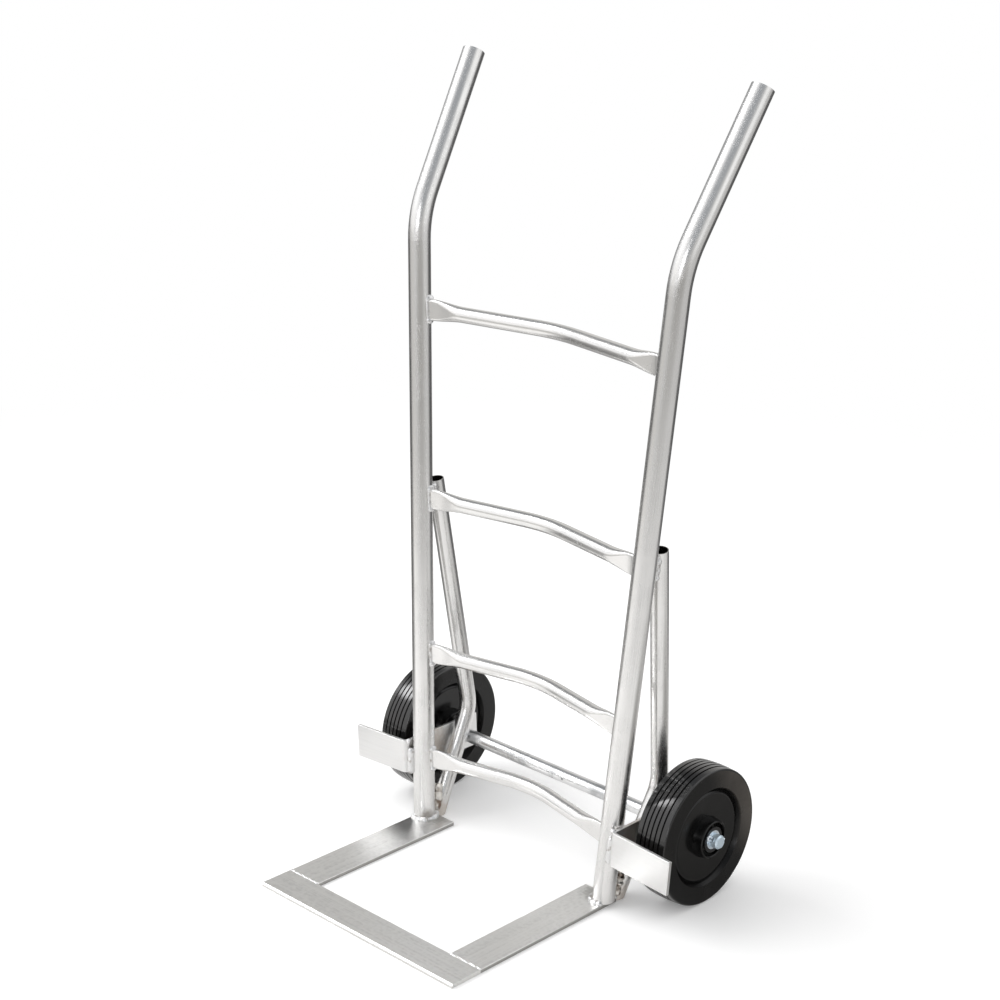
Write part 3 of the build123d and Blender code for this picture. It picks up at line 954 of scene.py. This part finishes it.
@dataclass
class AxleBrackets:
    """The bent bars that hold the axle and guard the wheels, with their welds.

    The place of a weld is its distances behind and outside the stile's axis, and its reach is in half
    heights of the bar.
    """

    height: float = 0.051
    thickness: float = 0.005
    front: float = 0.018
    soot_behind: float = 0.03
    bead: float = 0.0034
    back_place: Span = (0.00782, 0.01498)
    back_reach: float = 0.98
    front_bead: float = 0.0055
    front_ripple: Ripple = Ripple(0.007, 0.05, 0.12)
    front_place: Span = (-0.0146, 0.0128)
    front_reach: Span = (-1.05, 0.55)
    top_bead: float = 0.0044
    top_ripple: Ripple = Ripple(waver=0.4)
    top_from: float = 0.86
    corner_place: Span = (-0.0190, 0.0185)
    axle_bead: float = 0.00272
    axle_ring: float = 0.01068
    ring_step: int = 10

    @property
    def finish(self) -> DrawnAluminium:
        """Finish of the bars, browner and darker round a spot beside the tyre."""
        corner = LAYOUT.beside_stile(LAYOUT.axle_z, 0.0, LAYOUT.stile_radius + self.thickness / 2)
        corner.y = LAYOUT.foot_y - self.front + self.thickness / 2
        # Browner, darker spot on the bar beside the tyre
        beside_tyre = (corner.x + self.thickness / 2, LAYOUT.foot_y + self.soot_behind, LAYOUT.axle_z)
        return DrawnAluminium(
            "bracket_aluminium", corner, -BACKWARDS, LAYOUT.outwards, (beside_tyre,), haze_radius=0.05,
            bright=(0.89, 0.89, 0.885), dull=(0.85, 0.85, 0.845),
            roughness=(0.32, 0.40), line_spacing=0.0014, line_depth=0.00001,
        )

    @property
    def ring(self) -> list[Vector]:
        """Line round the axle on the right bracket's inner face."""
        face = LAYOUT.beside_stile(LAYOUT.axle_z, 0.0, LAYOUT.stile_radius)
        middle = Vector((face.x, LAYOUT.axle_y, LAYOUT.axle_z))
        rise = Vector((slope(LAYOUT.flare), 0.0, 1.0))
        angles = range(0, 360, self.ring_step)
        return arc(middle, BACKWARDS * self.axle_ring, rise * self.axle_ring, angles)

    def build(self) -> None:
        """Dresses the bars and lays the welds that join them to the stiles and the axle."""
        dress(both("axle_bracket"), self.finish)
        along = LAYOUT.stile_run * (self.height / 2 / LAYOUT.stile_run.z)
        back, front, corner = (
            LAYOUT.beside_stile(LAYOUT.axle_z, *place)
            for place in (self.back_place, self.front_place, self.corner_place)
        )
        back_seam = [back - along * self.back_reach, back + along * self.back_reach]
        front_seam = [front + along * reach for reach in self.front_reach]
        top_seam = [front + along * self.top_from, corner + along]
        for side in Side:
            for place, line, radius, ripple in (
                ("back", back_seam, self.bead, Ripple()),
                ("front", front_seam, self.front_bead, self.front_ripple),
                ("top", top_seam, self.top_bead, self.top_ripple),
            ):
                Bead(f"{side}_bracket_{place}_weld", side.line(line), radius, "flat_bar", ripple).lay()
            Bead(f"{side}_axle_weld", side.line(self.ring), self.axle_bead, "flat_bar", closed=True).lay()


@dataclass
class AxleSet:
    """The axle bar and the small pieces on it."""

    axle: ZincPlate = ZincPlate("axle_zinc", end_from=0.284)
    small: ZincPlate = ZincPlate(
        "small_part_zinc",
        bright=(0.88, 0.94, 1.0), milky=(0.70, 0.78, 0.85), roughness=(0.16, 0.28), metallic=0.6,
    )
    washer: ZincPlate = replace(small, name="washer_zinc", roughness=(0.20, 0.32), nylon_radius=0.0135)

    def build(self) -> None:
        """Dresses the pieces."""
        dress(["axle"], self.axle)
        dress(both("split_pin") + both("spacer"), self.small)
        dress(both("washer"), self.washer)


@dataclass
class Wheels:
    """The tyres, moulded centres and bushes."""

    rubber: Moulded = Moulded(
        "tyre_rubber",
        colour=(0.0035, 0.0035, 0.0035), bloom=(0.034, 0.031, 0.028), roughness=(0.20, 0.34),
        grain_depth=0.00005, cloud_size=0.06, specular=0.30, tread_radius=0.099,
    )
    plastic: Moulded = Moulded(
        "centre_plastic",
        colour=(0.0025, 0.0025, 0.0025), bloom=(0.014, 0.014, 0.014), roughness=(0.14, 0.22),
        grain_depth=0.00002, specular=0.40,
    )
    nylon: Moulded = Moulded(
        "bush_nylon",
        colour=(0.012, 0.012, 0.013), bloom=(0.030, 0.030, 0.030), roughness=(0.35, 0.50),
        grain_depth=0.00004,
    )

    def build(self) -> None:
        """Dresses the pieces of both wheels."""
        dress(both("tyre"), self.rubber)
        dress(both("wheel_centre"), self.plastic)
        dress(both("hub_bush"), self.nylon)


@dataclass(frozen=True)
class RoomSide:
    """Round part of the room with a tone of its own, which shows only in reflections.

    The tone is full within the core and gone at the rim, both in degrees from the middle. Below it fades
    between two elevations.
    """

    azimuth: float
    elevation: float
    core: float
    rim: float
    colour: Colour
    floor_fade: Span = (-90.0, -80.0)

    @property
    def middle(self) -> Place:
        """Direction of its middle: azimuth 0 is the front and 90 the right."""
        turn, rise = math.radians(self.azimuth), math.radians(self.elevation)
        return math.sin(turn) * math.cos(rise), -math.cos(turn) * math.cos(rise), math.sin(rise)


@dataclass
class Studio:
    """White floor, one soft lamp, and a room with sides of several tones for both in reflections."""

    seeing_rays = ("Is Camera Ray", "Is Glossy Ray", "Is Transmission Ray")
    floor_radius: float = 60.0
    floor_corners: int = 96
    floor_tone: float = 0.98
    floor_glow: float = 0.15
    reflected_floor: Colour = (1.0, 0.99, 0.97)
    reflected_share: Span = (0.75, 0.54)
    near_radius: float = 0.7
    clear_radius: float = 0.9
    white_radius: float = 2.6
    fill: float = 0.80
    eye_height: float = 0.6
    lamp_place: Place = (-1.84, -1.06, 1.83)
    lamp_target: Place = (0.0, 0.0, 0.45)
    lamp_size: Span = (3.0, 1.6)
    lamp_radiance: float = 3.3
    room_colour: Colour = (1.0, 1.0, 1.01)
    sides: tuple[RoomSide, ...] = (
        # Wall at the front left
        RoomSide(-34, -4, 8, 32, (1.05, 1.04, 1.03), (-34.0, -20.0)),
        # Walls behind the camera, low and high
        RoomSide(48, 6, 10, 52, (0.58, 0.57, 0.555), (-20.0, -5.0)),
        RoomSide(46, 44, 10, 46, (0.35, 0.365, 0.385)),
        # Dark ceiling at the left
        RoomSide(-108, 58, 6, 26, (0.34, 0.35, 0.37)),
        # Lit wall round the lamp, and the lamp
        RoomSide(-42, 34, 5, 24, (1.22, 1.22, 1.23)),
        RoomSide(-60, 44, 4, 14, (9.0, 9.0, 9.1)),
        # White wall and dark floor at the right
        RoomSide(104, 14, 10, 28, WHITE),
        RoomSide(128, -48, 8, 24, (0.40, 0.395, 0.39)),
        # Dark floor at the left, dark back and dark wall at the back left with a paler patch
        RoomSide(-86, -22, 13, 34, (0.17, 0.17, 0.17)),
        RoomSide(170, -8, 12, 42, (0.16, 0.16, 0.165)),
        RoomSide(-124, 24, 16, 48, (0.24, 0.245, 0.25)),
        RoomSide(-137, 19, 10, 27, (0.68, 0.67, 0.65)),
        # Small lamp left of the camera
        RoomSide(20, 16, 3, 9, (6.0, 6.0, 6.1)),
        # Dark floor at the back left
        RoomSide(-134, -28, 9, 26, (0.30, 0.30, 0.305)),
    )

    def seen(self, tree: Tree) -> tuple[Socket, Socket]:
        """Numbers that are 1 for rays from gloss, the camera or glass, and for those from gloss alone."""
        rays = tree.add("ShaderNodeLightPath")
        return tree.chain("MAXIMUM", *(rays[name] for name in self.seeing_rays)), rays["Is Glossy Ray"]

    def room(self, tree: Tree, sight: Socket) -> Socket:
        """Colour of the room in a direction.

        Args:
            tree: Tree that the nodes go into.
            sight: Direction, of length one.

        Returns:
            The colour.
        """
        colour = self.room_colour
        height = tree.vector("DOT_PRODUCT", sight, UPWARDS)
        for side in self.sides:
            facing = tree.vector("DOT_PRODUCT", sight, side.middle)
            reach = (math.cos(math.radians(angle)) for angle in (side.rim, side.core))
            fade = (math.sin(math.radians(angle)) for angle in side.floor_fade)
            mask = tree.math("MULTIPLY", tree.ramp(facing, reach), tree.ramp(height, fade))
            colour = tree.tint(mask, colour, side.colour)
        return colour

    def world(self) -> None:
        """White surroundings that light the truck softly and show the room in reflections."""
        world = bpy.data.worlds.new("studio")
        world.use_nodes = True
        bpy.context.scene.world = world
        tree = Tree(world.node_tree)
        backdrop = world.node_tree.nodes["Background"]
        room = self.room(tree, tree.add("ShaderNodeTexCoord")["Generated"])
        seen, gloss = self.seen(tree)
        tree.feed(backdrop.inputs["Color"], tree.tint(gloss, WHITE, room))
        tree.feed(backdrop.inputs["Strength"], tree.blend(seen, self.fill, 1.0))

    def floor(self) -> None:
        """Pale floor that keeps the truck's shadow, is white further out and reflects as the room."""
        turns = [360.0 * number / self.floor_corners for number in range(self.floor_corners)]
        rim = arc(Vector(), SIDEWAYS * self.floor_radius, BACKWARDS * self.floor_radius, turns)
        mesh = bpy.data.meshes.new("floor")
        mesh.from_pydata(rim, [], [tuple(range(len(rim)))])
        floor = bpy.data.objects.new("floor", mesh)
        bpy.context.scene.collection.objects.link(floor)
        material, tree = surface("pale_floor")
        place = tree.add("ShaderNodeTexCoord")["Object"]
        distance = tree.vector("LENGTH", place)
        sight = tree.vector("NORMALIZE", tree.vector("SUBTRACT", place, UPWARDS * self.eye_height))
        seen, gloss = self.seen(tree)
        reflected = tree.vector("MULTIPLY", self.room(tree, sight), self.reflected_floor)
        share = tree.ramp(distance, (self.near_radius, self.white_radius), self.reflected_share)
        tone = tree.tint(gloss, WHITE, tree.scaled(reflected, share))
        away = tree.ramp(distance, (self.clear_radius, self.white_radius))
        lit = tree.blend(tree.math("MULTIPLY", away, seen), self.floor_tone, 0.0)
        glow = tree.math("MULTIPLY", tree.blend(away, self.floor_glow, 1.0), seen)
        tree.finish(base_color=tree.scaled(tone, lit), roughness=1.0, specular_ior_level=0.0)
        tree.finish(emission_color=tone, emission_strength=glow)
        mesh.materials.append(material)

    def lamp(self) -> None:
        """Large soft lamp at the front left."""
        data = bpy.data.lights.new("softbox", "AREA")
        data.shape = "RECTANGLE"
        data.size, data.size_y = self.lamp_size
        data.energy = self.lamp_radiance * math.pi * data.size * data.size_y
        lamp = bpy.data.objects.new("softbox", data)
        place = Vector(self.lamp_place)
        aim = (Vector(self.lamp_target) - place).to_track_quat("-Z", "Y")
        lamp.matrix_world = Matrix.LocRotScale(place, aim, None)
        lamp.visible_glossy = False
        bpy.context.scene.collection.objects.link(lamp)

    def build(self) -> None:
        """Builds the whole studio."""
        bpy.context.scene.view_settings.view_transform = "Standard"
        self.world()
        self.floor()
        self.lamp()


@dataclass
class PhotoCamera:
    """Camera at the photograph's viewing angle."""

    place: Place = (1.85308, -1.93010, 1.44826)
    azimuth: float = 43.588
    elevation: float = 18.414
    roll: float = 1.014
    lens: float = 75.742
    sensor: float = 36.0

    def build(self) -> None:
        """Builds the camera and makes it the scene's own."""
        data = bpy.data.cameras.new("photo_camera")
        data.lens = self.lens
        data.sensor_width = self.sensor
        camera = bpy.data.objects.new("photo_camera", data)
        turn = Quaternion(UPWARDS, math.radians(self.azimuth))
        tip = Quaternion(SIDEWAYS, math.radians(90.0 - self.elevation))
        bank = Quaternion(UPWARDS, math.radians(self.roll))
        camera.matrix_world = Matrix.LocRotScale(Vector(self.place), turn @ tip @ bank, None)
        bpy.context.scene.collection.objects.link(camera)
        bpy.context.scene.camera = camera


def main() -> None:
    """Builds the studio and the truck."""
    logging.basicConfig(level=logging.INFO, format="%(message)s")
    PhotoCamera().build()
    Studio().build()
    for kind in (Stiles, Rungs, Braces, ToeFrame, AxleBrackets, AxleSet, Wheels):
        kind().build()


if __name__ == "__main__":
    main()
